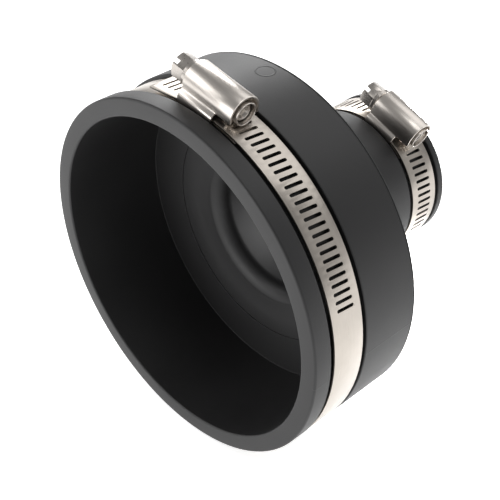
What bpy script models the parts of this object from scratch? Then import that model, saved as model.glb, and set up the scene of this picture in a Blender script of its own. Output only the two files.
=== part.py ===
"""Flexible reducer coupling for drain pipe: a moulded rubber sleeve and two worm-drive band clamps.

Metres, +Z up. The sleeve lies on its side with its axis along Y, wide socket towards -Y, neck towards +Y.
Each clamp hangs on an empty whose origin is on the pipe axis. In the clamp's own frame +Z points from the
pipe axis to the place where the worm meets the band, and -X points to the screw's head.
"""

import math

import bmesh
import bpy
from mathutils import Matrix, Vector

# Rubber sleeve
SOCKET_BORE_R = 0.0585
SOCKET_WALL = 0.0065
SOCKET_DEPTH = 0.0403
END_WALL = 0.0055
NECK_BORE_R = 0.0240
NECK_WALL = 0.0047
SLEEVE_LENGTH = 0.1070
PIPE_STOP_WIDTH = 0.0157
PIPE_STOP_STEP = 0.0004
DISH_DEPTH = 0.0016
NECK_ROOT_FILLET = 0.0050
LIP_ROUND = 0.0007
REAR_ROUND = 0.0016
CORNER_EASE = 0.0008
STEP_EASE = 0.0002
GROOVE_CHAMFER = 0.0005
SLEEVE_STEPS = 72

# Band clamps, both of one type
BAND_WIDTH = 0.0127
BAND_THICKNESS = 0.00065
BAND_RECESS = 0.0002
FIT_GAP = 0.0003
GROOVE_SIDE_GAP = 0.0016
SLOT_PITCH = 0.0027
SLOT_LENGTH = 0.0070
SLOT_WIDTH = 0.00115
SLOT_CORNER = 0.0005
PLAIN_TAIL = 0.0022
TIGHTENING_TURNS = 10
LAP_LEFT = 0.0035
BAND_STEP = math.radians(4.5)

# Screw housings and worm screws
SHEET = 0.0008
THREAD_CLEARANCE = 0.00045
SKIRT_SHARE = 0.70
CREASE_HEIGHT = 0.0015
END_PLATE_RECESS = 0.0022
THREAD_CREST_R = 0.0046
THREAD_DEPTH = 0.0011
THREAD_ENGAGEMENT = 0.00045
THREAD_CREST_WIDTH = 0.00045
THREAD_ROOT_WIDTH = 0.0011
THREAD_STEPS = 16
HEX_ACROSS_FLATS = 0.0080
HEX_LENGTH = 0.0052
HEX_TURN = math.pi / 6
COLLAR_R = 0.0047
COLLAR_LENGTH = 0.0020
HEAD_NECK_STEP = 0.0001
HEAD_SLOT_WIDTH = 0.0016
HEAD_SLOT_DEPTH = 0.0024
HEAD_SLOT_TURN = -0.785
TIP_R = 0.0029
TIP_RECESS = 0.0004
JOIN = 0.0003
ROD_SIDES = 24

# Where each clamp sits, from the sleeve's end beside it, and how far its pieces reach along the band.
# Shifts and tails count from the worm, the head side positive.
LARGE_CLAMP_FROM_MOUTH = 0.0149
LARGE_CLAMP_ANGLE = math.radians(79.0)
LARGE_HOUSING_LENGTH = 0.0215
LARGE_HOUSING_SHIFT = 0.0050
LARGE_TONGUE = 0.0036
LARGE_TAIL_CURVED = 0.0015
LARGE_TAIL_STRAIGHT = 0.0130
LARGE_OPEN_RUN = 0.0384
LARGE_SLOTS_BELOW = 26
SMALL_CLAMP_FROM_END = 0.0109
SMALL_CLAMP_ANGLE = math.radians(70.0)
SMALL_HOUSING_LENGTH = 0.0190
SMALL_HOUSING_SHIFT = -0.00315
SMALL_TONGUE = 0.0
SMALL_TAIL_CURVED = 0.0284
SMALL_TAIL_STRAIGHT = 0.0
SMALL_OPEN_RUN = 0.0046
SMALL_SLOTS_BELOW = 22

SOCKET_OUTER_R = SOCKET_BORE_R + SOCKET_WALL
SOCKET_LENGTH = SOCKET_DEPTH + END_WALL
NECK_OUTER_R = NECK_BORE_R + NECK_WALL
AXIS_HEIGHT = SOCKET_OUTER_R * math.cos(math.pi / SLEEVE_STEPS)
MOUTH_Y = -SLEEVE_LENGTH / 2
END_Y = SLEEVE_LENGTH / 2
GROOVE_WIDTH = BAND_WIDTH + 2 * GROOVE_SIDE_GAP
LAYER_PITCH = BAND_THICKNESS + FIT_GAP
GROOVE_DEPTH = BAND_RECESS + 2 * LAYER_PITCH
BARREL_OUTER_R = THREAD_CREST_R + THREAD_CLEARANCE + SHEET
BARREL_MIDDLE_R = BARREL_OUTER_R - SHEET / 2
WORM_HEIGHT = THREAD_CREST_R - THREAD_ENGAGEMENT
THREAD_ROOT_R = THREAD_CREST_R - THREAD_DEPTH
HEAD_NECK_R = THREAD_ROOT_R - HEAD_NECK_STEP
SLOT_TILT = math.atan2(SLOT_PITCH, 2 * math.pi * THREAD_CREST_R)
LAP_LENGTH = TIGHTENING_TURNS * SLOT_PITCH + LAP_LEFT


def clear_scene():
    for obj in list(bpy.data.objects):
        bpy.data.objects.remove(obj, do_unlink=True)
    for collection in list(bpy.data.collections):
        bpy.data.collections.remove(collection)


def make_collection(name):
    collection = bpy.data.collections.new(name)
    bpy.context.scene.collection.children.link(collection)
    return collection


def make_material(name, colour, roughness, metallic):
    material = bpy.data.materials.new(name)
    material.use_nodes = True
    shader = material.node_tree.nodes["Principled BSDF"]
    shader.inputs["Base Color"].default_value = (*colour, 1.0)
    shader.inputs["Roughness"].default_value = roughness
    shader.inputs["Metallic"].default_value = metallic
    material.diffuse_color = (*colour, 1.0)
    return material


def add_object(name, bm, collection, parent, material):
    bmesh.ops.recalc_face_normals(bm, faces=bm.faces)
    mesh = bpy.data.meshes.new(name)
    bm.to_mesh(mesh)
    bm.free()
    obj = bpy.data.objects.new(name, mesh)
    collection.objects.link(obj)
    obj.parent = parent
    if material:
        mesh.materials.append(material)
        mesh.shade_smooth()
        mesh.set_sharp_from_angle(angle=math.radians(28))
    return obj


def add_cutter(name, bm, parent):
    cutter = add_object(name, bm, cutters, parent, None)
    cutter.hide_render = True
    cutter.display_type = "WIRE"
    return cutter


def add_boolean(obj, other, operation):
    modifier = obj.modifiers.new(operation.title(), "BOOLEAN")
    modifier.operation = operation
    modifier.solver = "EXACT"
    modifier.object = other


def box(bm, size, centre, turn=None):
    matrix = Matrix.Translation(centre) @ (turn or Matrix.Identity(4)) @ Matrix.Diagonal((*size, 1.0))
    return bmesh.ops.create_cube(bm, size=1.0, matrix=matrix)["verts"]


def rod(bm, radius, x_from, x_to, height, sides, turn=0.0):
    """A closed cylinder along X, from x_from to x_to, its axis at this height."""
    matrix = (
        Matrix.Translation(((x_from + x_to) / 2, 0.0, height))
        @ Matrix.Rotation(math.pi / 2, 4, "Y")
        @ Matrix.Rotation(turn, 4, "Z")
    )
    bmesh.ops.create_cone(
        bm, cap_ends=True, segments=sides, radius1=radius, radius2=radius, depth=x_to - x_from, matrix=matrix
    )


def on_arc(angle, radius):
    """Matrix from the band's top to the place this far round it, the head side positive."""
    return Matrix.Rotation(-angle, 4, "Y") @ Matrix.Translation((0.0, 0.0, radius))


def band_arc(bm, inner_r, start, end, tail=0.0):
    """A strip of band bent round the pipe axis from start to end, then straight for the tail's length."""
    size = Matrix.Diagonal((BAND_THICKNESS / 2, BAND_WIDTH / 2, 1.0, 1.0))
    flat = Matrix.Rotation(math.pi / 2, 4, "Y") @ size
    matrix = on_arc(start, inner_r + BAND_THICKNESS / 2) @ flat
    grid = bmesh.ops.create_grid(bm, x_segments=1, y_segments=1, size=1.0, matrix=matrix)
    steps = max(2, round((end - start) / BAND_STEP))
    ends = bmesh.ops.spin(
        bm,
        geom=grid["verts"] + bm.edges[:] + bm.faces[:],
        cent=(0.0, 0.0, 0.0),
        axis=(0.0, 1.0, 0.0),
        angle=start - end,
        steps=steps,
    )["geom_last"]
    if tail > 0.0:
        last = [part for part in ends if isinstance(part, bmesh.types.BMFace)]
        made = bmesh.ops.extrude_face_region(bm, geom=last)["geom"]
        bmesh.ops.delete(bm, geom=last, context="FACES_ONLY")
        moved = [part for part in made if isinstance(part, bmesh.types.BMVert)]
        along = Matrix.Rotation(-end, 3, "Y") @ Vector((-tail, 0.0, 0.0))
        bmesh.ops.translate(bm, verts=moved, vec=along)


def groove_points(outer_r, centre):
    """Section of a clamp's groove as (radius, distance along the axis) points, its edges chamfered."""
    c, floor_r = GROOVE_CHAMFER, outer_r - GROOVE_DEPTH
    start, end = centre - GROOVE_WIDTH / 2, centre + GROOVE_WIDTH / 2
    near = [(outer_r, start - c), (outer_r - c, start), (floor_r, start)]
    return near + [(floor_r, end), (outer_r - c, end), (outer_r, end + c)]


def quarter(turns, radius, centre_r, centre_y):
    """Points of a hollow corner's quarter round, at these turns from its cylinder's side."""
    arcs = [math.radians(turn) for turn in turns]
    return [(centre_r - radius * math.sin(a), centre_y - radius * math.cos(a)) for a in arcs]


def sleeve_profile():
    """Section of the sleeve as (radius, distance along the axis) points, from the mouth down the outside."""
    socket_r, neck_r, fillet = SOCKET_OUTER_R, NECK_OUTER_R, NECK_ROOT_FILLET
    shoulder, wall = MOUTH_Y + SOCKET_LENGTH, MOUTH_Y + SOCKET_DEPTH
    points = [(SOCKET_BORE_R + LIP_ROUND, MOUTH_Y), (socket_r - LIP_ROUND, MOUTH_Y)]
    points.append((socket_r, MOUTH_Y + LIP_ROUND))
    points += groove_points(socket_r, MOUTH_Y + LARGE_CLAMP_FROM_MOUTH)
    points += [(socket_r, shoulder - REAR_ROUND), (socket_r - 0.3 * REAR_ROUND, shoulder - 0.3 * REAR_ROUND)]
    points.append((socket_r - REAR_ROUND, shoulder))
    points += quarter((0, 30, 60, 90), fillet, neck_r + fillet, shoulder + fillet)
    points += groove_points(neck_r, END_Y - SMALL_CLAMP_FROM_END)
    points += [(neck_r, END_Y - LIP_ROUND), (neck_r - LIP_ROUND, END_Y), (NECK_BORE_R + LIP_ROUND, END_Y)]
    points.append((NECK_BORE_R, END_Y - LIP_ROUND))
    step_y, stop_r = wall + PIPE_STOP_STEP, SOCKET_BORE_R - PIPE_STOP_WIDTH
    points += quarter((90, 60, 30, 0), fillet, NECK_BORE_R + fillet, step_y + DISH_DEPTH + fillet)
    points += [(stop_r - STEP_EASE, step_y), (stop_r, wall)]
    points += [(SOCKET_BORE_R - CORNER_EASE, wall), (SOCKET_BORE_R, wall - CORNER_EASE)]
    points.append((SOCKET_BORE_R, MOUTH_Y + LIP_ROUND))
    return points


def make_sleeve(parent):
    bm = bmesh.new()
    half_step = math.pi / SLEEVE_STEPS
    ring = [bm.verts.new((r * math.cos(half_step), y, r * math.sin(half_step))) for r, y in sleeve_profile()]
    for a, b in zip(ring, ring[1:] + ring[:1]):
        bm.edges.new((a, b))
    mesh = bpy.data.meshes.new("sleeve")
    bm.to_mesh(mesh)
    bm.free()
    mesh.materials.append(rubber)
    sleeve = bpy.data.objects.new("sleeve", mesh)
    coupling.objects.link(sleeve)
    sleeve.parent = parent
    screw = sleeve.modifiers.new("Revolve", "SCREW")
    screw.axis = "Y"
    screw.steps = SLEEVE_STEPS
    screw.render_steps = SLEEVE_STEPS
    screw.use_merge_vertices = True
    screw.merge_threshold = 0.00001
    screw.use_smooth_shade = False
    screw.use_normal_flip = True
    return sleeve


def make_strip(name, parent, inner_r, start, tail_curved, tail_straight, slots_below):
    """The long strip of a clamp: plain from its start round to its slots, which run up to its free end."""
    bm = bmesh.new()
    arc_end = tail_curved / (inner_r + BAND_THICKNESS / 2)
    band_arc(bm, inner_r, start, 2 * math.pi + arc_end, tail_straight)
    strip = add_object(name, bm, coupling, parent, steel_band)
    mid_r = inner_r + BAND_THICKNESS / 2
    pitch_angle = SLOT_PITCH / mid_r
    above = int((tail_curved + tail_straight - PLAIN_TAIL) / SLOT_PITCH)
    cut = bmesh.new()
    size = (SLOT_WIDTH, SLOT_LENGTH, 4 * BAND_THICKNESS)
    for number in range(-slots_below, above + 1):
        run = number * pitch_angle
        if run <= arc_end:
            place = on_arc(run, mid_r)
        else:
            place = on_arc(arc_end, mid_r) @ Matrix.Translation(((arc_end - run) * mid_r, 0.0, 0.0))
        verts = box(cut, size, (0.0, 0.0, 0.0), place @ Matrix.Rotation(-SLOT_TILT, 4, "Z"))
        upright = [e for e in {e for v in verts for e in v.link_edges} if is_upright(e, place)]
        bmesh.ops.bevel(cut, geom=upright, offset=SLOT_CORNER, segments=1, affect="EDGES")
    add_boolean(strip, add_cutter(name + "_slots", cut, parent), "DIFFERENCE")
    return strip


def is_upright(edge, place):
    run = edge.verts[1].co - edge.verts[0].co
    return abs(run.normalized().dot(place.to_3x3().col[2].normalized())) > 0.99


def make_curved_plate(name, parent, inner_r, start, end):
    bm = bmesh.new()
    band_arc(bm, inner_r, start, end)
    return add_object(name, bm, coupling, parent, steel_band)


def housing_path(band_top):
    """Middle line of the housing's sheet, as (across, height) points from foot to foot over the arch."""
    foot = BAND_WIDTH / 2 + FIT_GAP + SHEET / 2
    axis = band_top + WORM_HEIGHT
    left = [(-foot, band_top - 2 * LAYER_PITCH + FIT_GAP), (-foot, band_top + FIT_GAP + SHEET)]
    left.append((-BARREL_MIDDLE_R, band_top + CREASE_HEIGHT + SHEET))
    turns = [math.radians(turn) for turn in range(0, 181, 15)]
    arch = [(-BARREL_MIDDLE_R * math.cos(a), axis + BARREL_MIDDLE_R * math.sin(a)) for a in turns]
    return left + arch + [(-y, z) for y, z in reversed(left)]


def make_housing_sheet(name, parent, band_top, x_head, x_tip):
    """The stamped arch, its skirts cut short of the tip end."""
    skirt_end = x_head + SKIRT_SHARE * (x_tip - x_head)
    bm = bmesh.new()
    path = [bm.verts.new((x_head, y, z)) for y, z in housing_path(band_top)]
    edges = [bm.edges.new(pair) for pair in zip(path, path[1:])]
    for x_step in (skirt_end - x_head, x_tip - skirt_end):
        made = bmesh.ops.extrude_edge_only(bm, edges=edges)["geom"]
        verts = [part for part in made if isinstance(part, bmesh.types.BMVert)]
        edges = [part for part in made if isinstance(part, bmesh.types.BMEdge)]
        bmesh.ops.translate(bm, verts=verts, vec=(x_step, 0.0, 0.0))
    crease = band_top + CREASE_HEIGHT + SHEET
    middles = {face: face.calc_center_median() for face in bm.faces}
    clear = [face for face, middle in middles.items() if middle.x > skirt_end and middle.z < crease]
    bmesh.ops.delete(bm, geom=clear, context="FACES")
    housing = add_object(name, bm, coupling, parent, steel_housing)
    solidify = housing.modifiers.new("Sheet", "SOLIDIFY")
    solidify.thickness = SHEET
    solidify.offset = 0.0
    solidify.use_even_offset = True
    return housing


def make_housing(name, parent, band_top, x_head, x_tip):
    """Stamped housing: an arch over the worm, open below, with skirts that hold the saddle's edges."""
    housing = make_housing_sheet(name, parent, band_top, x_head, x_tip)
    axis = band_top + WORM_HEIGHT
    plates = bmesh.new()
    for x_from in (x_head, x_tip - END_PLATE_RECESS - SHEET):
        rod(plates, BARREL_MIDDLE_R, x_from, x_from + SHEET, axis, ROD_SIDES, math.pi / ROD_SIDES)
    add_boolean(housing, add_cutter(name + "_end_plates", plates, parent), "UNION")
    holes = bmesh.new()
    rod(holes, HEAD_NECK_R + FIT_GAP, x_head - SHEET, x_head + 2 * SHEET, axis, ROD_SIDES)
    rod(holes, TIP_R + FIT_GAP, x_tip - END_PLATE_RECESS - 2 * SHEET, x_tip + SHEET, axis, ROD_SIDES)
    across = 2 * (BARREL_OUTER_R - SHEET)
    size = (x_tip - x_head + 4 * SHEET, across, 2 * BARREL_OUTER_R)
    open_from = band_top + FIT_GAP
    box(holes, size, ((x_head + x_tip) / 2, 0.0, open_from - BARREL_OUTER_R))
    add_boolean(housing, add_cutter(name + "_holes", holes, parent), "DIFFERENCE")
    return housing


def thread_ridge(thread_from, thread_to):
    """The worm's helical ridge, right-handed, with a crest at the bottom of the screw where X is 0."""
    before = int((-thread_from - THREAD_ROOT_WIDTH) / SLOT_PITCH)
    turns = before + int((thread_to - THREAD_ROOT_WIDTH) / SLOT_PITCH)
    steps = turns * THREAD_STEPS
    half_root, half_crest = THREAD_ROOT_WIDTH / 2, THREAD_CREST_WIDTH / 2
    side = [(-half_root, THREAD_ROOT_R - 2 * JOIN), (-half_root, THREAD_ROOT_R)]
    side.append((-half_crest, THREAD_CREST_R))
    section = side + [(-x, r) for x, r in reversed(side)]
    bm = bmesh.new()
    start = -before * SLOT_PITCH
    face = bm.faces.new([bm.verts.new((start + x, 0.0, -r)) for x, r in section])
    bmesh.ops.spin(
        bm,
        geom=face.verts[:] + face.edges[:] + [face],
        cent=(0.0, 0.0, 0.0),
        axis=(1.0, 0.0, 0.0),
        dvec=(turns * SLOT_PITCH / steps, 0.0, 0.0),
        angle=2 * math.pi * turns,
        steps=steps,
    )
    return bm


def make_screw(name, parent, band_top, x_head, x_tip):
    """Worm screw with a slotted hexagon head; a crest of its thread meets the band at the clamp's top."""
    axis = bpy.data.objects.new(name + "_axis", None)
    axis.empty_display_size = COLLAR_R
    coupling.objects.link(axis)
    axis.parent = parent
    axis.location = (0.0, 0.0, band_top + WORM_HEIGHT)
    thread_from = x_head + SHEET + FIT_GAP
    thread_to = x_tip - END_PLATE_RECESS - SHEET - FIT_GAP
    core = bmesh.new()
    rod(core, THREAD_ROOT_R, thread_from, thread_to, 0.0, ROD_SIDES)
    screw = add_object(name, core, coupling, axis, steel_screw)
    ridge = thread_ridge(thread_from, thread_to)
    add_boolean(screw, add_cutter(name + "_thread", ridge, axis), "UNION")
    collar_to = x_head - FIT_GAP
    collar_from = collar_to - COLLAR_LENGTH
    head_from = collar_from - HEX_LENGTH
    corner_r = HEX_ACROSS_FLATS / 2 / math.cos(math.pi / 6)
    turned = (
        ("neck", HEAD_NECK_R, collar_to - JOIN, thread_from + JOIN, ROD_SIDES, 0.0),
        ("tip", TIP_R, thread_to - JOIN, x_tip - TIP_RECESS, ROD_SIDES, 0.0),
        ("collar", COLLAR_R, collar_from, collar_to, ROD_SIDES, 0.0),
        ("hex", corner_r, head_from, collar_from + JOIN, 6, HEX_TURN),
    )
    for part, radius, x_from, x_to, sides, turn in turned:
        bm = bmesh.new()
        rod(bm, radius, x_from, x_to, 0.0, sides, turn)
        add_boolean(screw, add_cutter(name + "_" + part, bm, axis), "UNION")
    slot = bmesh.new()
    size = (2 * HEAD_SLOT_DEPTH, 4 * corner_r, HEAD_SLOT_WIDTH)
    box(slot, size, (head_from, 0.0, 0.0), Matrix.Rotation(HEAD_SLOT_TURN, 4, "X"))
    add_boolean(screw, add_cutter(name + "_driver_slot", slot, axis), "DIFFERENCE")
    return screw


def make_clamp(prefix, lip_r, y, angle, length, shift, tongue, tail, open_run, slots_below):
    """One clamp. Its strip runs from a plain start over the fixed end, round, and out under the worm."""
    empty = bpy.data.objects.new(prefix + "_clamp_axis", None)
    empty.empty_display_size = BAND_WIDTH
    coupling.objects.link(empty)
    empty.location = (0.0, y, AXIS_HEIGHT)
    empty.rotation_euler = (0.0, math.pi / 2 - angle, 0.0)
    band_top = lip_r - BAND_RECESS
    strip_r = band_top - BAND_THICKNESS
    layer_r = strip_r - LAYER_PITCH
    x_head, x_tip = -shift - length / 2, -shift + length / 2
    tail_curved = tail[0] - x_head
    strip_start = (tail_curved + tail[1] + open_run) / strip_r
    fixed_end = strip_start + LAP_LENGTH / strip_r
    saddle_head = (SHEET - x_head) / layer_r
    saddle_tip = (x_tip + tongue) / layer_r
    make_strip(prefix + "_band_strip", empty, strip_r, strip_start, tail_curved, tail[1], slots_below)
    make_curved_plate(prefix + "_saddle", empty, layer_r, -saddle_tip, saddle_head)
    fixed_from = saddle_head + FIT_GAP / layer_r
    make_curved_plate(prefix + "_band_fixed_end", empty, layer_r, fixed_from, fixed_end)
    make_housing(prefix + "_housing", empty, band_top, x_head, x_tip)
    make_screw(prefix + "_screw", empty, band_top, x_head, x_tip)


clear_scene()
coupling = make_collection("pipe_coupling")
cutters = make_collection("cutters")
cutters.hide_render = True
rubber = make_material("black_rubber", (0.035, 0.033, 0.035), 0.55, 0.0)
steel_band = make_material("stainless_band", (0.62, 0.58, 0.54), 0.30, 1.0)
steel_housing = make_material("stainless_housing", (0.66, 0.62, 0.58), 0.28, 1.0)
steel_screw = make_material("stainless_screw", (0.55, 0.52, 0.49), 0.32, 1.0)

pipe_axis = bpy.data.objects.new("pipe_axis", None)
pipe_axis.empty_display_size = 0.02
coupling.objects.link(pipe_axis)
pipe_axis.location = (0.0, 0.0, AXIS_HEIGHT)
make_sleeve(pipe_axis)
make_clamp(
    "large", SOCKET_OUTER_R, MOUTH_Y + LARGE_CLAMP_FROM_MOUTH, LARGE_CLAMP_ANGLE,
    LARGE_HOUSING_LENGTH, LARGE_HOUSING_SHIFT, LARGE_TONGUE,
    (LARGE_TAIL_CURVED, LARGE_TAIL_STRAIGHT), LARGE_OPEN_RUN, LARGE_SLOTS_BELOW,
)
make_clamp(
    "small", NECK_OUTER_R, END_Y - SMALL_CLAMP_FROM_END, SMALL_CLAMP_ANGLE,
    SMALL_HOUSING_LENGTH, SMALL_HOUSING_SHIFT, SMALL_TONGUE,
    (SMALL_TAIL_CURVED, SMALL_TAIL_STRAIGHT), SMALL_OPEN_RUN, SMALL_SLOTS_BELOW,
)
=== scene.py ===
"""A flexible reducer coupling for drain pipe: a black rubber sleeve with a stainless band clamp on each end.

Lengths are metres. The sleeve lies along Y with its wide mouth towards -Y. Each clamp is modelled with the
pipe axis at the origin and its worm at the top, the screw's head towards -X, then turned into its place.
"""

import math

import bmesh
import bpy
from mathutils import Matrix, Vector


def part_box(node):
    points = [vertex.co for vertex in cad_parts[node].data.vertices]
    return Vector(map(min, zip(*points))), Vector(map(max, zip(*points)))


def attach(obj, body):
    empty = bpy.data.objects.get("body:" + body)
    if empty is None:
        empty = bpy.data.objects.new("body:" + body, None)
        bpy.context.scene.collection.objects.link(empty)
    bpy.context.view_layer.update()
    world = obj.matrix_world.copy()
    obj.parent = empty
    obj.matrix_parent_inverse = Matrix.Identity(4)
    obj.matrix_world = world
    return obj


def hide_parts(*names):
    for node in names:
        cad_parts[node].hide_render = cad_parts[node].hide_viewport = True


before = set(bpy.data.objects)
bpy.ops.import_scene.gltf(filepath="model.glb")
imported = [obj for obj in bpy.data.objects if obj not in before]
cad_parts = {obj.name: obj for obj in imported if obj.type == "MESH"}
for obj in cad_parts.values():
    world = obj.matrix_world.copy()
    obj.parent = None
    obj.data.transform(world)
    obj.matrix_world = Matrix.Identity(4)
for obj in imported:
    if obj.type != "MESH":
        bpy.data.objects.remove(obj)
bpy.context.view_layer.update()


# Rubber sleeve
# The body of the coupling, one compression moulding in black rubber with a satin skin.
# Its section is swept round the pipe axis: wide socket, end wall, neck, and a groove for each clamp.


class Link:
    """A socket in a material's node tree. Arithmetic on it adds Math nodes."""

    def __init__(self, tree, socket=None):
        self.tree = tree
        self.socket = socket

    def add(self, kind, settings, sockets, output=0):
        """A new node: its settings first, then its sockets, each set to a value or fed by a link."""
        node = self.tree.nodes.new(kind)
        for name, value in settings.items():
            if name == "stops":
                for element, (place, shade) in zip(node.color_ramp.elements, value):
                    element.position = place
                    element.color = (shade, shade, shade, 1.0)
            else:
                setattr(node, name, value)
        for name, value in sockets.items():
            if isinstance(value, Link):
                self.tree.links.new(value.socket, node.inputs[name])
            else:
                node.inputs[name].default_value = value
        return Link(self.tree, node.outputs[output])

    def math(self, operation, first, second):
        return self.add("ShaderNodeMath", {"operation": operation}, {0: first, 1: second})

    def __add__(self, other):
        return self.math("ADD", self, other)

    __radd__ = __add__

    def __sub__(self, other):
        return self.math("SUBTRACT", self, other)

    def __rsub__(self, other):
        return self.math("SUBTRACT", other, self)

    def __mul__(self, other):
        return self.math("MULTIPLY", self, other)

    __rmul__ = __mul__

    def blend(self, low, high):
        """The colour between two, by this mask."""
        sockets = {0: self, 6: (*low, 1.0), 7: (*high, 1.0)}
        return self.add("ShaderNodeMix", {"data_type": "RGBA"}, sockets, 2)

    def ramp(self, start, end):
        """0 up to start and 1 from end on."""
        return self.add("ShaderNodeValToRGB", {"stops": ((start, 0.0), (end, 1.0))}, {0: self})

    def noise(self, stretch, detail, roughness=0.5):
        """Noise over this place, with this many cells to a metre each way."""
        place = self.add("ShaderNodeMapping", {}, {"Vector": self, "Scale": stretch})
        sockets = {"Vector": place, "Scale": 1.0, "Detail": detail, "Roughness": roughness}
        return self.add("ShaderNodeTexNoise", {}, sockets)


def start_material(name, metallic):
    """A new material, its shader, and the place of a point on the piece."""
    material = bpy.data.materials.new(name)
    material.use_nodes = True
    shader = material.node_tree.nodes["Principled BSDF"]
    shader.inputs["Metallic"].default_value = metallic
    place = Link(material.node_tree).add("ShaderNodeTexCoord", {}, {}, "Object")
    return material, shader, place


def feed(shader, name, link):
    link.tree.links.new(link.socket, shader.inputs[name])


def rounded(corners, steps=6):
    """A section's points from its corners, each given as (radius, run, rounding)."""
    points = []
    for number, (radius, run, rounding) in enumerate(corners):
        here = Vector((radius, run))
        back = (Vector(corners[number - 1][:2]) - here).normalized()
        on = (Vector(corners[(number + 1) % len(corners)][:2]) - here).normalized()
        if rounding == 0.0:
            points.append(here)
            continue
        half = back.angle(on) / 2
        middle = here + (back + on).normalized() * rounding / math.sin(half)
        first = here + back * rounding / math.tan(half) - middle
        last = here + on * rounding / math.tan(half) - middle
        for step in range(steps + 1):
            spoke = first.lerp(last, step / steps).normalized() * rounding
            points.append(middle + spoke)
    return points


MERGE_WITHIN = 0.000004


def turned(name, section, sides, solid):
    """A piece turned about Z: a circle extruded and scaled along its section of (radius, run) points."""
    bpy.ops.object.select_all(action="DESELECT")
    radius, run = section[0]
    fill = "NGON" if solid else "NOTHING"
    bpy.ops.mesh.primitive_circle_add(vertices=sides, radius=radius, fill_type=fill, location=(0.0, 0.0, run))
    piece = bpy.context.object
    piece.name = piece.data.name = name
    bpy.ops.object.transform_apply()
    bpy.ops.object.mode_set(mode="EDIT")
    for next_radius, next_run in section[1:] + ([] if solid else section[:1]):
        bpy.ops.mesh.extrude_region_move(TRANSFORM_OT_translate={"value": (0.0, 0.0, next_run - run)})
        share = next_radius / radius
        bpy.ops.transform.resize(value=(share, share, 1.0), center_override=(0.0, 0.0, 0.0))
        radius, run = next_radius, next_run
    bpy.ops.mesh.select_all(action="SELECT")
    bpy.ops.mesh.remove_doubles(threshold=MERGE_WITHIN)
    bpy.ops.mesh.normals_make_consistent(inside=False)
    bpy.ops.object.mode_set(mode="OBJECT")
    return piece


def settle(piece, place, material, smooth_below=35.0):
    """Puts a finished piece in its place, with its place in its mesh, and gives it its material."""
    bpy.ops.object.select_all(action="DESELECT")
    piece.select_set(True)
    bpy.context.view_layer.objects.active = piece
    piece.matrix_world = place
    bpy.ops.object.transform_apply(location=True, rotation=True, scale=True)
    bpy.ops.object.shade_smooth_by_angle(angle=math.radians(smooth_below))
    piece.data.materials.clear()
    piece.data.materials.append(material)


sleeve_low, sleeve_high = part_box("sleeve")
axis_z = (sleeve_low.z + sleeve_high.z) / 2
socket_r = (sleeve_high.x - sleeve_low.x) / 2
sleeve_length = sleeve_high.y - sleeve_low.y
SOCKET_BORE_R = 0.0585
SOCKET_LENGTH = 0.0458
WALL_RUN = 0.0403
NECK_R = 0.0287
NECK_BORE_R = 0.0240
GROOVE_DEPTH = 0.0021
GROOVE_HALF = 0.00795
EDGE = 0.0004
LIP_EDGE = 0.0007
ROOT_FILLET = 0.0050
BORE_FILLET = 0.0060
STEP_R = 0.0426
STEP_DEPTH = 0.0004
DISH_WIDTH = 0.0131
DISH_DEPTH = 0.0016
LARGE_BAND_RUN = 0.0149
SMALL_BAND_RUN = 0.0961

dish = [
    (STEP_R - DISH_WIDTH * t, WALL_RUN + STEP_DEPTH + DISH_DEPTH * t * t * (3 - 2 * t), 0.0)
    for t in (0.25, 0.5, 0.75, 1.0)
]
sleeve_section = rounded(
    [
        (SOCKET_BORE_R, 0.0, LIP_EDGE),
        (socket_r, 0.0, 0.0008),
        (socket_r, LARGE_BAND_RUN - GROOVE_HALF, EDGE),
        (socket_r - GROOVE_DEPTH, LARGE_BAND_RUN - GROOVE_HALF, EDGE),
        (socket_r - GROOVE_DEPTH, LARGE_BAND_RUN + GROOVE_HALF, EDGE),
        (socket_r, LARGE_BAND_RUN + GROOVE_HALF, EDGE),
        (socket_r, SOCKET_LENGTH - 0.0009, 0.0),
        (socket_r - 0.0002, SOCKET_LENGTH - 0.0006, 0.0),
        (socket_r, SOCKET_LENGTH - 0.0003, 0.0),
        (socket_r - 0.0001, SOCKET_LENGTH, 0.0),
        (NECK_R, SOCKET_LENGTH, ROOT_FILLET),
        (NECK_R, SMALL_BAND_RUN - GROOVE_HALF, EDGE),
        (NECK_R - GROOVE_DEPTH, SMALL_BAND_RUN - GROOVE_HALF, EDGE),
        (NECK_R - GROOVE_DEPTH, SMALL_BAND_RUN + GROOVE_HALF, EDGE),
        (NECK_R, SMALL_BAND_RUN + GROOVE_HALF, EDGE),
        (NECK_R, sleeve_length, LIP_EDGE),
        (NECK_BORE_R, sleeve_length, LIP_EDGE),
        (NECK_BORE_R, WALL_RUN + 0.0020, BORE_FILLET),
    ]
    + dish[::-1]
    + [
        (0.0427, WALL_RUN + STEP_DEPTH, 0.0),
        (0.0428, WALL_RUN, 0.0001),
        (SOCKET_BORE_R, WALL_RUN, 0.0002),
    ]
)

rubber, shader, place = start_material("black_rubber", 0.0)
skin = place.noise((2600.0, 2600.0, 2600.0), 3.0, 0.6)
cloud = place.noise((38.0, 38.0, 38.0), 4.0, 0.55)
dust = place.noise((900.0, 900.0, 900.0), 2.0, 0.7).ramp(0.70, 0.80) * cloud.ramp(0.45, 0.7)
feed(shader, "Base Color", (dust * 0.35 + cloud * 0.5).blend((0.0048, 0.0045, 0.0050), (0.0135, 0.0130, 0.0138)))
feed(shader, "Roughness", cloud * 0.12 + skin * 0.08 + 0.42)
shader.inputs["Specular IOR Level"].default_value = 0.62

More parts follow.
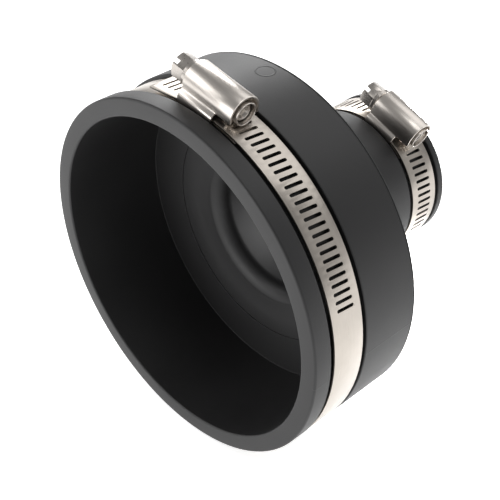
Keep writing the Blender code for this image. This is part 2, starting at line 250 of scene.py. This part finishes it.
# The mould's parting line along the outside, at the sides close to the axis's height, and a round mark on top.
PARTING_TURN = math.radians(-3.3)
PARTING_FROM_R = 0.0640
MARK_TURN = math.radians(88.5)
MARK_RUN = 0.0399
MARK_R = 0.0032
parting = Vector((-math.sin(PARTING_TURN), 0.0, math.cos(PARTING_TURN)))
centred = place.add("ShaderNodeVectorMath", {"operation": "SUBTRACT"}, {0: place, 1: (0.0, 0.0, axis_z)})
off_line = centred.add("ShaderNodeVectorMath", {"operation": "DOT_PRODUCT"}, {0: centred, 1: parting}, 1)
off_line = off_line.math("ABSOLUTE", off_line, 0.0)
across = centred.add("ShaderNodeVectorMath", {"operation": "MULTIPLY"}, {0: centred, 1: (1.0, 0.0, 1.0)})
off_axis = across.add("ShaderNodeVectorMath", {"operation": "LENGTH"}, {0: across}, 1)
line = 1 - off_line.math("MINIMUM", off_line * 5000.0, 1.0)
line = line * off_line.math("GREATER_THAN", off_axis, PARTING_FROM_R)
mark_at = (socket_r * math.cos(MARK_TURN), sleeve_low.y + MARK_RUN, axis_z + socket_r * math.sin(MARK_TURN))
off_mark = place.add("ShaderNodeVectorMath", {"operation": "DISTANCE"}, {0: place, 1: mark_at}, 1)
ring = off_mark.math("ABSOLUTE", off_mark - MARK_R, 0.0)
ring = 1 - ring.math("MINIMUM", ring * 2500.0, 1.0)
relief = line * 0.00010 + ring * 0.00013 + skin * 0.000018 + cloud * 0.00012
feed(shader, "Normal", relief.add("ShaderNodeBump", {}, {"Strength": 0.8, "Distance": 1.0, "Height": relief}))

sleeve = turned("rubber_sleeve", sleeve_section, 288, False)
along_pipe = Matrix.Translation((0.0, sleeve_low.y, axis_z)) @ Matrix.Rotation(-math.pi / 2, 4, "X")
settle(sleeve, along_pipe, rubber, 30.0)
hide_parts("sleeve")
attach(sleeve, "sleeve")


# Clamp bands
# Rolled stainless strip, 12.7 mm wide and 0.65 mm thick, its edges eased by the slitting.
# The long strip has a row of punched slots that the worm drives; the short layer under it is plain.
BAND_WIDTH = 0.0127
BAND_THICKNESS = 0.00065
BAND_RECESS = 0.0002
LAYER_PITCH = 0.00095
SLOT_PITCH = 0.0027
SLOT_LENGTH = 0.0070
SLOT_WIDTH = 0.00115
SLOT_TILT = math.radians(5.3)


def steel(name, colour, dark, grain, low_gloss, high_gloss):
    """Bare stainless steel. The grain is how many cells to a metre its polishing lines have along X, Y and Z."""
    material, shader, place = start_material(name, 1.0)
    lines = place.noise(grain, 3.0, 0.65)
    cloud = place.noise((160.0, 160.0, 160.0), 3.0)
    scuffs = place.noise((420.0, 1500.0, 420.0), 2.0, 0.7).ramp(0.62, 0.78)
    feed(shader, "Base Color", (lines * 0.45 + cloud * 0.5 + scuffs * 0.15).blend(dark, colour))
    feed(shader, "Roughness", lines * (high_gloss - low_gloss) + scuffs * 0.10 + low_gloss)
    relief = lines * 0.000010 + cloud * 0.000020
    feed(shader, "Normal", relief.add("ShaderNodeBump", {}, {"Strength": 0.7, "Distance": 1.0, "Height": relief}))
    return material


band_steel = steel("stainless_band", (0.56, 0.515, 0.465), (0.41, 0.375, 0.335), (40.0, 2600.0, 40.0), 0.22, 0.40)


def finish_with(piece, kind, **settings):
    """Adds a modifier and applies it."""
    bpy.ops.object.select_all(action="DESELECT")
    piece.select_set(True)
    bpy.context.view_layer.objects.active = piece
    modifier = piece.modifiers.new(kind.title(), kind)
    for name, value in settings.items():
        setattr(modifier, name, value)
    bpy.ops.object.modifier_apply(modifier=modifier.name)


def combine(piece, other, operation):
    """Cuts, joins or keeps what is common with another shape, which is used up."""
    finish_with(piece, "BOOLEAN", operation=operation, solver="EXACT", object=other)
    bpy.data.objects.remove(other)


def ease_edges(piece, width, over=40.0, segments=2):
    """Rounds the edges that turn by more than this many degrees."""
    finish_with(
        piece, "BEVEL", width=width, segments=segments, limit_method="ANGLE", angle_limit=math.radians(over),
        use_clamp_overlap=False,
    )


def round_the_band(turn, radius):
    """The place this far round the band from the worm, the head side positive."""
    return Matrix.Rotation(-turn, 4, "Y") @ Matrix.Translation((0.0, 0.0, radius))


def bent_strip(name, inner_r, start, end, tail):
    """Band bent round the pipe axis from one turn to another: its cross-section spun, then drawn on straight."""
    bpy.ops.object.select_all(action="DESELECT")
    bpy.ops.mesh.primitive_plane_add(size=1.0)
    strip = bpy.context.object
    strip.name = strip.data.name = name
    middle = round_the_band(start, inner_r + BAND_THICKNESS / 2) @ Matrix.Rotation(math.pi / 2, 4, "Y")
    strip.matrix_world = middle @ Matrix.Diagonal((BAND_THICKNESS, BAND_WIDTH, 1.0, 1.0))
    bpy.ops.object.transform_apply(location=True, rotation=True, scale=True)
    bpy.ops.object.mode_set(mode="EDIT")
    bpy.ops.mesh.select_all(action="SELECT")
    steps = max(4, round((end - start) / math.radians(1.0)))
    bpy.ops.mesh.spin(steps=steps, angle=end - start, center=(0.0, 0.0, 0.0), axis=(0.0, 1.0, 0.0))
    if tail > 0.0:
        along = Matrix.Rotation(-end, 3, "Y") @ Vector((-tail, 0.0, 0.0))
        bpy.ops.mesh.extrude_region_move(TRANSFORM_OT_translate={"value": along})
    bpy.ops.mesh.select_all(action="SELECT")
    bpy.ops.mesh.remove_doubles(threshold=MERGE_WITHIN)
    bpy.ops.mesh.normals_make_consistent(inside=False)
    bpy.ops.object.mode_set(mode="OBJECT")
    ease_edges(strip, 0.00014, 60.0)
    return strip


def punch_slots(strip, inner_r, first, last, arc_end):
    """Punches the row of slots, each leaning with the worm's thread. Their edges stay sharp, as punched."""
    bpy.ops.object.select_all(action="DESELECT")
    bpy.ops.mesh.primitive_cube_add(size=1.0)
    punch = bpy.context.object
    punch.scale = (SLOT_WIDTH, SLOT_LENGTH, 4 * BAND_THICKNESS)
    bpy.ops.object.transform_apply(location=True, rotation=True, scale=True)
    bpy.ops.object.mode_set(mode="EDIT")
    bpy.ops.mesh.select_mode(type="EDGE")
    bpy.ops.mesh.select_all(action="DESELECT")
    mesh = bmesh.from_edit_mesh(punch.data)
    for edge in mesh.edges:
        run = edge.verts[1].co - edge.verts[0].co
        edge.select_set(abs(run.normalized().z) > 0.9)
    bmesh.update_edit_mesh(punch.data)
    bpy.ops.mesh.bevel(offset=0.48 * SLOT_WIDTH, segments=5, affect="EDGES")
    bpy.ops.object.mode_set(mode="OBJECT")
    middle_r = inner_r + BAND_THICKNESS / 2
    lean = Matrix.Rotation(-SLOT_TILT, 4, "Z")
    row = []
    for number in range(first, last + 1):
        turn = number * SLOT_PITCH / middle_r
        if turn <= arc_end:
            place = round_the_band(turn, middle_r)
        else:
            past = Matrix.Translation(((arc_end - turn) * middle_r, 0.0, 0.0))
            place = round_the_band(arc_end, middle_r) @ past
        copy = punch.copy()
        copy.data = punch.data.copy()
        bpy.context.scene.collection.objects.link(copy)
        copy.matrix_world = place @ lean
        row.append(copy)
    bpy.data.objects.remove(punch)
    bpy.ops.object.select_all(action="DESELECT")
    for copy in row:
        copy.select_set(True)
    bpy.context.view_layer.objects.active = row[0]
    bpy.ops.object.join()
    bpy.ops.object.transform_apply(location=True, rotation=True, scale=True)
    combine(strip, row[0], "DIFFERENCE")


# Screw housings
# Stamped stainless sheet: an arch over the worm, creased at its foot into skirts that grip the band's edges.
# The head end has a plate with the screw's hole; the tip end has a rolled cup round the end of the screw.
SHEET = 0.0008
BARREL_R = 0.00585
WORM_HEIGHT = 0.00415
PLATE_HOLE_R = 0.0037
CUP_HOLE_R = 0.0033
RIM_OUTER_R = 0.0040
RIM_INNER_R = 0.0035
LEVEL = 0.00001

housing_steel = steel("stainless_housing", (0.72, 0.675, 0.625), (0.55, 0.51, 0.47), (60.0, 1500.0, 60.0), 0.24, 0.38)


def choose(piece, kind, test):
    """Selects just the points, edges or faces whose middle passes the test."""
    bpy.ops.mesh.select_mode(type=kind)
    bpy.ops.mesh.select_all(action="DESELECT")
    mesh = bmesh.from_edit_mesh(piece.data)
    if kind == "VERT":
        for vert in mesh.verts:
            vert.select_set(test(vert.co))
    elif kind == "EDGE":
        for edge in mesh.edges:
            edge.select_set(test((edge.verts[0].co + edge.verts[1].co) / 2))
    else:
        for face in mesh.faces:
            face.select_set(test(face.calc_center_median()))
    mesh.select_flush_mode()
    bmesh.update_edit_mesh(piece.data)


def stamped_housing(name, band_top, x_head, x_tip):
    """The housing round a worm along X: its arch and skirts, then its head plate and its tip cup joined on."""
    worm_z = band_top + WORM_HEIGHT
    middle_r = BARREL_R - SHEET / 2
    foot = BAND_WIDTH / 2 + 0.0003 + SHEET / 2
    crease_z = band_top + 0.0023
    flare_z = band_top + 0.0011
    foot_z = band_top - 0.0016
    skirt_end = x_head + 0.70 * (x_tip - x_head)
    bpy.ops.object.select_all(action="DESELECT")
    bpy.ops.mesh.primitive_circle_add(vertices=72, radius=middle_r)
    housing = bpy.context.object
    housing.name = housing.data.name = name
    housing.matrix_world = Matrix.Translation((x_head, 0.0, worm_z)) @ Matrix.Rotation(math.pi / 2, 4, "Y")
    bpy.ops.object.transform_apply(location=True, rotation=True, scale=True)
    bpy.ops.object.mode_set(mode="EDIT")
    choose(housing, "VERT", lambda co: co.z < worm_z - LEVEL)
    bpy.ops.mesh.delete(type="VERT")
    for side in (-1.0, 1.0):
        choose(housing, "VERT", lambda co: co.z < worm_z + LEVEL and co.y * side > 0.0)
        bpy.ops.mesh.extrude_region_move(TRANSFORM_OT_translate={"value": (0.0, 0.0, crease_z - worm_z)})
        out = (foot - middle_r) * side
        bpy.ops.mesh.extrude_region_move(TRANSFORM_OT_translate={"value": (0.0, out, flare_z - crease_z)})
        bpy.ops.mesh.extrude_region_move(TRANSFORM_OT_translate={"value": (0.0, 0.0, foot_z - flare_z)})
    bpy.ops.mesh.select_mode(type="EDGE")
    bpy.ops.mesh.select_all(action="SELECT")
    bpy.ops.mesh.extrude_region_move(TRANSFORM_OT_translate={"value": (skirt_end - x_head, 0.0, 0.0)})
    bpy.ops.mesh.extrude_region_move(TRANSFORM_OT_translate={"value": (x_tip - skirt_end, 0.0, 0.0)})
    choose(housing, "FACE", lambda co: co.x > skirt_end and co.z < crease_z)
    bpy.ops.mesh.delete(type="FACE")
    choose(housing, "VERT", lambda co: abs(co.x - skirt_end) < 0.0001 and co.z < foot_z + 0.0001)
    bpy.ops.mesh.bevel(offset=0.0020, segments=6, affect="VERTICES")
    creases = (crease_z, flare_z)
    choose(
        housing,
        "EDGE",
        lambda co: min(abs(co.z - z) for z in creases) < LEVEL and abs(co.x - x_head) > 0.001
        and abs(co.x - skirt_end) > 0.001 and abs(co.x - x_tip) > 0.001,
    )
    bpy.ops.mesh.bevel(offset=0.00055, segments=4, affect="EDGES")
    bpy.ops.mesh.select_all(action="SELECT")
    bpy.ops.mesh.normals_make_consistent(inside=False)
    bpy.ops.object.mode_set(mode="OBJECT")
    finish_with(housing, "SOLIDIFY", thickness=SHEET, offset=0.0, use_even_offset=True)
    ease_edges(housing, 0.00018, 50.0)
    plate = turned(
        name + "_plate",
        rounded([(PLATE_HOLE_R, x_head + 0.0001, 0.0001), (middle_r, x_head + 0.0001, 0.0),
                 (middle_r, x_head + SHEET, 0.0), (PLATE_HOLE_R, x_head + SHEET, 0.0001)], 3),
        64, False,
    )
    cup_back = x_tip - 0.0030
    cup_face = x_tip - 0.0022
    rim_end = x_tip + 0.0007
    cup = turned(
        name + "_cup",
        rounded([(CUP_HOLE_R, cup_back, 0.0002), (middle_r, cup_back, 0.0), (middle_r, cup_face, 0.0),
                 (RIM_OUTER_R, cup_face, 0.0002), (RIM_OUTER_R, rim_end, 0.0002),
                 (RIM_INNER_R, rim_end, 0.0002), (RIM_INNER_R, cup_face, 0.0001)], 4),
        64, False,
    )
    open_below = band_top + 0.00036
    for ring in (plate, cup):
        ring.matrix_world = Matrix.Translation((0.0, 0.0, worm_z)) @ Matrix.Rotation(math.pi / 2, 4, "Y")
        bpy.ops.object.select_all(action="DESELECT")
        ring.select_set(True)
        bpy.context.view_layer.objects.active = ring
        bpy.ops.object.transform_apply(location=True, rotation=True, scale=True)
        bpy.ops.object.mode_set(mode="EDIT")
        bpy.ops.mesh.select_all(action="SELECT")
        bpy.ops.mesh.bisect(
            plane_co=(0.0, 0.0, open_below), plane_no=(0.0, 0.0, 1.0), clear_inner=True, use_fill=True,
            threshold=0.000001,
        )
        bpy.ops.mesh.select_all(action="SELECT")
        bpy.ops.mesh.normals_make_consistent(inside=False)
        bpy.ops.object.mode_set(mode="OBJECT")
        combine(housing, ring, "UNION")
    return housing


# Worm screws
# Turned stainless screw: an 8 mm slotted hexagon on a washer collar, then the worm, then a plain dished tip.
# It turns in the housing's end plates, and its thread runs in the band's slots.
THREAD_CREST_R = 0.0046
THREAD_ROOT_R = 0.0035
HEX_ACROSS_FLATS = 0.0080
HEX_LENGTH = 0.0052
COLLAR_R = 0.0047
COLLAR_LENGTH = 0.0020
HEAD_SLOT_TURN = -0.785
DRIVER_SLOT_WIDTH = 0.0014
DRIVER_SLOT_DEPTH = 0.0021
JOURNAL_R = 0.0034
TIP_R = 0.0029

screw_steel = steel("stainless_screw", (0.62, 0.58, 0.54), (0.42, 0.39, 0.36), (900.0, 300.0, 900.0), 0.20, 0.38)


def worm_screw(name, x_head, x_tip):
    """The screw along Z in its own frame, run 0 where the worm meets the band."""
    collar_to = x_head - 0.0003
    collar_from = collar_to - COLLAR_LENGTH
    head_from = collar_from - HEX_LENGTH
    thread_from = x_head + SHEET + 0.0003
    thread_to = x_tip - 0.0033
    shank = [
        (COLLAR_R - 0.0003, collar_from), (COLLAR_R, collar_from + 0.0003), (COLLAR_R, collar_to - 0.0005),
        (COLLAR_R - 0.0004, collar_to), (JOURNAL_R, collar_to), (JOURNAL_R, thread_from),
        (THREAD_ROOT_R, thread_from), (THREAD_ROOT_R, thread_to), (TIP_R, thread_to), (TIP_R, x_tip - 0.0008),
        (0.0024, x_tip - 0.0004), (0.0019, x_tip - 0.0005), (0.0014, x_tip - 0.0014),
    ]
    screw = turned(name, shank, 64, True)
    corner_r = HEX_ACROSS_FLATS / 2 / math.cos(math.pi / 6)
    hexagon = turned(name + "_hex", [(corner_r, head_from), (corner_r, collar_from + 0.0002)], 6, True)
    hexagon.matrix_world = Matrix.Rotation(math.pi / 6, 4, "Z")
    bpy.ops.object.transform_apply(location=True, rotation=True, scale=True)
    chamfer = [
        (HEX_ACROSS_FLATS / 2 - 0.0002, head_from), (corner_r + 0.0001, head_from + 0.0006),
        (corner_r + 0.0001, collar_from + 0.0010),
    ]
    combine(hexagon, turned(name + "_chamfer", chamfer, 64, True), "INTERSECT")
    bpy.ops.object.select_all(action="DESELECT")
    bpy.ops.mesh.primitive_cube_add(size=1.0)
    driver_slot = bpy.context.object
    turn = Matrix.Rotation(HEAD_SLOT_TURN, 4, "Z")
    size = Matrix.Diagonal((DRIVER_SLOT_WIDTH, 4 * corner_r, 2 * DRIVER_SLOT_DEPTH, 1.0))
    driver_slot.matrix_world = Matrix.Translation((0.0, 0.0, head_from)) @ turn @ size
    bpy.ops.object.transform_apply(location=True, rotation=True, scale=True)
    combine(hexagon, driver_slot, "DIFFERENCE")
    ease_edges(hexagon, 0.00012, 25.0)
    combine(screw, hexagon, "UNION")
    before = int((-thread_from - 0.0011) / SLOT_PITCH)
    turns = before + int((thread_to - 0.0011) / SLOT_PITCH)
    bpy.ops.object.select_all(action="DESELECT")
    bpy.ops.mesh.primitive_plane_add(size=1.0)
    ridge = bpy.context.object
    ridge.name = name + "_ridge"
    start = Matrix.Translation((0.5 * (THREAD_ROOT_R + THREAD_CREST_R) - 0.0003, 0.0, -before * SLOT_PITCH))
    ridge.matrix_world = start @ Matrix.Rotation(math.pi / 2, 4, "X") @ Matrix.Diagonal((0.0017, 0.0011, 1.0, 1.0))
    bpy.ops.object.transform_apply(location=True, rotation=True, scale=True)
    bpy.ops.object.mode_set(mode="EDIT")
    choose(ridge, "VERT", lambda co: co.x > THREAD_ROOT_R)
    bpy.ops.transform.resize(value=(1.0, 1.0, 0.41), center_override=(0.0, 0.0, -before * SLOT_PITCH))
    bpy.ops.object.mode_set(mode="OBJECT")
    finish_with(
        ridge, "SCREW", axis="Z", steps=40, render_steps=40, iterations=turns, screw_offset=SLOT_PITCH,
        merge_threshold=0.00001,
    )
    bpy.ops.object.mode_set(mode="EDIT")
    bpy.ops.mesh.select_all(action="SELECT")
    bpy.ops.mesh.remove_doubles(threshold=MERGE_WITHIN)
    bpy.ops.mesh.select_mode(type="EDGE")
    bpy.ops.mesh.select_all(action="DESELECT")
    bpy.ops.mesh.select_non_manifold(extend=False)
    bpy.ops.mesh.edge_face_add()
    bpy.ops.mesh.select_all(action="SELECT")
    bpy.ops.mesh.normals_make_consistent(inside=False)
    bpy.ops.object.mode_set(mode="OBJECT")
    bpy.ops.object.select_all(action="DESELECT")
    ridge.select_set(True)
    screw.select_set(True)
    bpy.context.view_layer.objects.active = screw
    bpy.ops.object.join()
    return screw


def clamp(size, lip_r, run, angle, length, shift, tongue, tail_curved, tail, open_run, slots_below):
    """One whole clamp, in the order it is put together, each piece riding on its body.

    The lip is the sleeve's surface beside the groove, and the angle is the worm's place round the pipe axis. The
    shift moves the housing along the worm, the tongue is how far the saddle stands out past its tip end, and the
    free tail is curved first, then straight. The open run lies between the tail's end and the strip's start, and
    slots_below counts the slots on the tip side of the worm.
    """
    stand = Matrix.Translation((0.0, sleeve_low.y + run, axis_z)) @ Matrix.Rotation(math.pi / 2 - angle, 4, "Y")
    band_top = lip_r - BAND_RECESS
    strip_r = band_top - BAND_THICKNESS
    layer_r = strip_r - LAYER_PITCH
    x_head, x_tip = -shift - length / 2, -shift + length / 2
    curved = tail_curved - x_head
    arc_end = curved / (strip_r + BAND_THICKNESS / 2)
    start = (curved + tail + open_run) / strip_r
    strip = bent_strip(size + "_strip", strip_r, start, 2 * math.pi + arc_end, tail)
    last = int((curved + tail - 0.0022) / SLOT_PITCH)
    punch_slots(strip, strip_r, -slots_below, last, arc_end)
    saddle_end = (SHEET - x_head) / layer_r
    saddle = bent_strip(size + "_saddle_plate", layer_r, -(x_tip + tongue) / layer_r, saddle_end, 0.0)
    fixed_end = start + 0.0305 / strip_r
    fixed = bent_strip(size + "_fixed_end", layer_r, saddle_end + 0.0003 / layer_r, fixed_end, 0.0)
    housing = stamped_housing(size + "_screw_housing", band_top, x_head, x_tip)
    screw = worm_screw(size + "_worm_screw", x_head, x_tip)
    for piece, node, material, slot, body in (
        (strip, "_band_strip", band_steel, "stainless_band", "_strip"),
        (saddle, "_saddle", band_steel, "stainless_band", "_clamp"),
        (fixed, "_band_fixed_end", band_steel, "stainless_band", "_clamp"),
        (housing, "_housing", housing_steel, "stainless_housing", "_clamp"),
    ):
        settle(piece, stand, material)
        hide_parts(size + node)
        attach(piece, size + body)
    worm_axis = Matrix.Translation((0.0, 0.0, band_top + WORM_HEIGHT)) @ Matrix.Rotation(math.pi / 2, 4, "Y")
    settle(screw, stand @ worm_axis, screw_steel, 25.0)
    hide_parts(size + "_screw")
    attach(screw, size + "_worm")


clamp(
    "large", lip_r=0.0650, run=LARGE_BAND_RUN, angle=math.radians(79.0), length=0.0215, shift=0.0050, tongue=0.0036,
    tail_curved=0.0015, tail=0.0130, open_run=0.0384, slots_below=26,
)
clamp(
    "small", lip_r=NECK_R, run=SMALL_BAND_RUN, angle=math.radians(70.0), length=0.0190, shift=-0.00315, tongue=0.0,
    tail_curved=0.0284, tail=0.0, open_run=0.0046, slots_below=22,
)


# Studio
# A pale floor without a visible edge under a dim white sky, with soft lights all round and above.
# A small lamp behind the open neck lights the inner end wall.
bpy.ops.object.select_all(action="DESELECT")
bpy.ops.mesh.primitive_plane_add(size=40.0, location=(0.0, 0.0, 0.0))
floor = bpy.context.object
floor.name = "floor"
floor_paint = bpy.data.materials.new("floor_paint")
floor_paint.use_nodes = True
floor_paint.node_tree.nodes["Principled BSDF"].inputs["Base Color"].default_value = (0.90, 0.90, 0.90, 1.0)
floor_paint.node_tree.nodes["Principled BSDF"].inputs["Roughness"].default_value = 0.9
floor_paint.node_tree.nodes["Principled BSDF"].inputs["Emission Color"].default_value = (1.0, 1.0, 1.0, 1.0)
floor_paint.node_tree.nodes["Principled BSDF"].inputs["Emission Strength"].default_value = 0.72
floor.data.materials.append(floor_paint)

world = bpy.data.worlds.new("sky")
bpy.context.scene.world = world
world.use_nodes = True
world.node_tree.nodes["Background"].inputs["Color"].default_value = (1.0, 1.0, 1.0, 1.0)
world.node_tree.nodes["Background"].inputs["Strength"].default_value = 0.30

for name, at, width, power in (
    ("back_softbox", (-0.80, 0.68, 0.58), 0.55, 6.2),
    ("high_softbox", (0.14, 0.74, 1.00), 0.95, 3.2),
    ("right_softbox", (0.90, 0.72, 0.50), 0.80, 0.5),
    ("left_softbox", (-0.80, -0.60, 0.60), 0.60, 3.0),
    ("front_softbox", (-0.20, -1.10, 0.20), 0.60, 4.0),
    ("top_softbox", (0.30, -0.10, 1.20), 0.50, 1.8),
    ("neck_light", (0.0, 0.11, axis_z), 0.04, 0.40),
):
    light = bpy.data.lights.new(name, "AREA")
    light.size = width
    light.energy = power
    softbox = bpy.data.objects.new(name, light)
    bpy.context.scene.collection.objects.link(softbox)
    softbox.visible_camera = False
    softbox.location = at
    softbox.rotation_euler = (Vector((0.0, 0.0, axis_z)) - Vector(at)).to_track_quat("-Z", "Y").to_euler()

camera = bpy.data.objects.new("camera", bpy.data.cameras.new("camera"))
bpy.context.scene.collection.objects.link(camera)
camera.data.lens = 75.7
camera.data.clip_start = 0.01
camera.location = (0.2148, -0.2230, 0.2866)
camera.rotation_euler = (math.radians(90.0 - 37.35), 0.0, math.radians(46.43))
bpy.context.scene.camera = camera
bpy.context.scene.view_settings.view_transform = "Standard"
